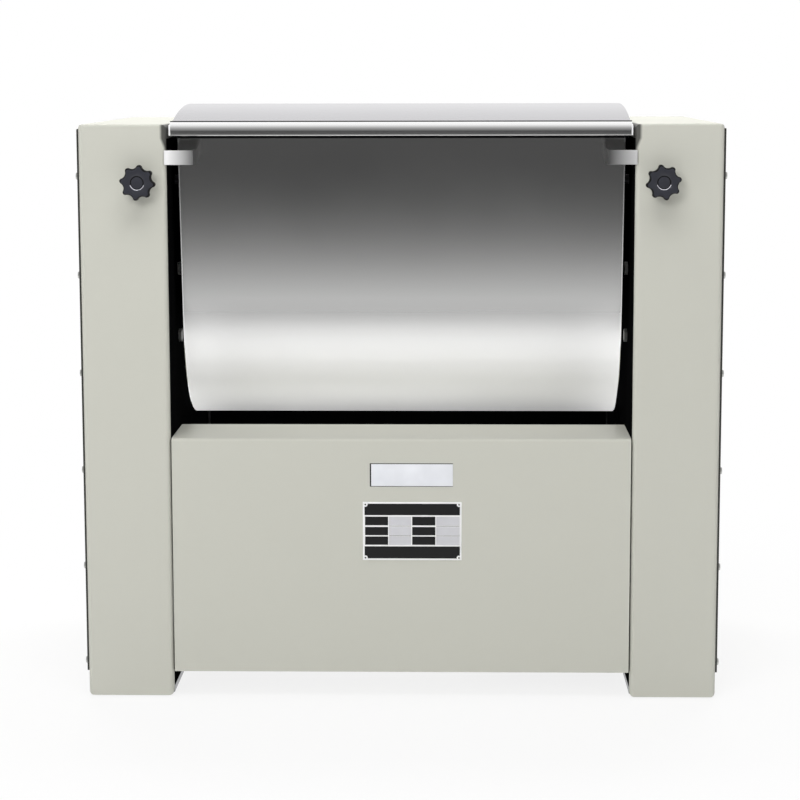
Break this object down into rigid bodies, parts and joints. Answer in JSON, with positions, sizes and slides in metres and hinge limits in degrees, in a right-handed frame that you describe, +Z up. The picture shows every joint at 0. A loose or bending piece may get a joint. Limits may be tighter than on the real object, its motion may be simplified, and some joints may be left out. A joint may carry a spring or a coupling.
{
  "type": "horizontal dough mixer",
  "caption": "Horizontal dough mixer: a stainless tilting bin with hinged lid and wound mixing blades between two painted towers, driven by a belt and gears.",
  "frame": {"origin": "on the floor, midway between the towers and midway between the foremost and hindmost points", "axes": "X to the machine's right as seen from the front, Y to the back, Z up"},
  "size_m": [0.81, 0.53, 0.7504],
  "materials": {
    "beige_paint": "fine textured powder coat",
    "black_paint": "satin black",
    "stainless": "brushed along the length",
    "polished_stainless": "bright",
    "steel": "machined",
    "zinc_screw": "zinc plated",
    "cast_housing": "painted casting",
    "bearing_steel": "ground",
    "rubber": "matte",
    "motor_paint": "satin grey",
    "black_plastic": "moulded",
    "grey_plastic": "moulded",
    "label_metal": "satin"
  },
  "bodies": {
    "machine_frame": {"left_tower_casing": "beige_paint", "right_tower_casing": "beige_paint", "left_side_cover": "beige_paint", "right_side_cover": "beige_paint", "left_side_plate": "black_paint", "right_side_plate": "black_paint", "left_bearing_housing": "cast_housing", "right_bearing_housing": "cast_housing", "cover_screws": "zinc_screw", "base_plates": "steel", "foot_pads": "rubber", "housing_bolts": "zinc_screw", "ball_bearings": "bearing_steel", "shaft_seals": "rubber", "lower_front_panel": "beige_paint", "back_panel": "beige_paint", "front_base_rail": "black_paint", "back_base_rail": "black_paint", "maker_plate": "label_metal", "data_plate": "label_metal", "data_plate_rivets": "polished_stainless", "switch_plate": "grey_plastic", "cable_gland": "black_plastic", "countershaft_housing": "cast_housing", "drive_belt": "rubber", "motor_frame": "motor_paint", "motor_fan_cover": "motor_paint", "motor_terminal_box": "motor_paint", "motor_plate": "steel", "lock_bushes": "steel", "lock_brackets": "steel"},
    "bin": {"bin_wrapper": "stainless", "left_bin_end": "stainless", "right_bin_end": "stainless", "bin_rim": "stainless", "bin_hubs": "steel", "lock_stubs": "steel", "stop_ears": "polished_stainless", "hinge_brackets": "polished_stainless"},
    "lid": {"lid_shell": "stainless", "lid_front_bar": "polished_stainless", "lid_skirts": "stainless", "hinge_leaves": "polished_stainless"},
    "mixing_rotor": {"left_mixing_shaft": "steel", "right_mixing_shaft": "steel", "left_rotor_arm": "polished_stainless", "right_rotor_arm": "polished_stainless", "first_mixing_blade": "polished_stainless", "second_mixing_blade": "polished_stainless", "large_gear": "steel"},
    "countershaft": {"countershaft": "steel", "large_pulley": "cast_housing", "pinion": "steel"},
    "motor_rotor": {"motor_shaft": "steel", "motor_pulley": "cast_housing"},
    "left_lock": {"left_star_knob": "black_plastic", "left_lock_shaft": "steel"},
    "right_lock": {"right_star_knob": "black_plastic", "right_lock_shaft": "steel"},
    "switch": {"switch_dial": "black_plastic"}
  },
  "joints": [
    {"name": "bin_tilt", "type": "hinge", "parent": "machine_frame", "child": "bin", "pos_m": [0, 0, 0.497], "axis": [1, 0, 0], "range_deg": [0, 70]},
    {"name": "lid_hinge", "type": "hinge", "parent": "bin", "child": "lid", "pos_m": [0, 0.217, 0.726], "axis": [-1, 0, 0], "range_deg": [0, 100]},
    {"name": "rotor_spin", "type": "hinge", "parent": "machine_frame", "child": "mixing_rotor", "pos_m": [0, 0, 0.497], "axis": [1, 0, 0], "continuous": true},
    {"name": "countershaft_spin", "type": "hinge", "parent": "machine_frame", "child": "countershaft", "pos_m": [0.35, 0, 0.317], "axis": [1, 0, 0], "continuous": true},
    {"name": "motor_spin", "type": "hinge", "parent": "machine_frame", "child": "motor_rotor", "pos_m": [0.35, 0.122, 0.168], "axis": [1, 0, 0], "continuous": true},
    {"name": "left_lock_turn", "type": "hinge", "parent": "machine_frame", "child": "left_lock", "pos_m": [-0.3235, -0.235, 0.6573], "axis": [0, 1, 0], "range_deg": [0, 90]},
    {"name": "right_lock_turn", "type": "hinge", "parent": "machine_frame", "child": "right_lock", "pos_m": [0.3235, -0.235, 0.6573], "axis": [0, -1, 0], "range_deg": [0, 90]},
    {"name": "switch_turn", "type": "hinge", "parent": "machine_frame", "child": "switch", "pos_m": [0.345, 0.24, 0.6], "axis": [0, 1, 0], "range_deg": [0, 90]}
  ],
  "couplings": [
    {"joint": "countershaft_spin", "follows": "rotor_spin", "ratio": -4},
    {"joint": "motor_spin", "follows": "rotor_spin", "ratio": -16.571}
  ]
}
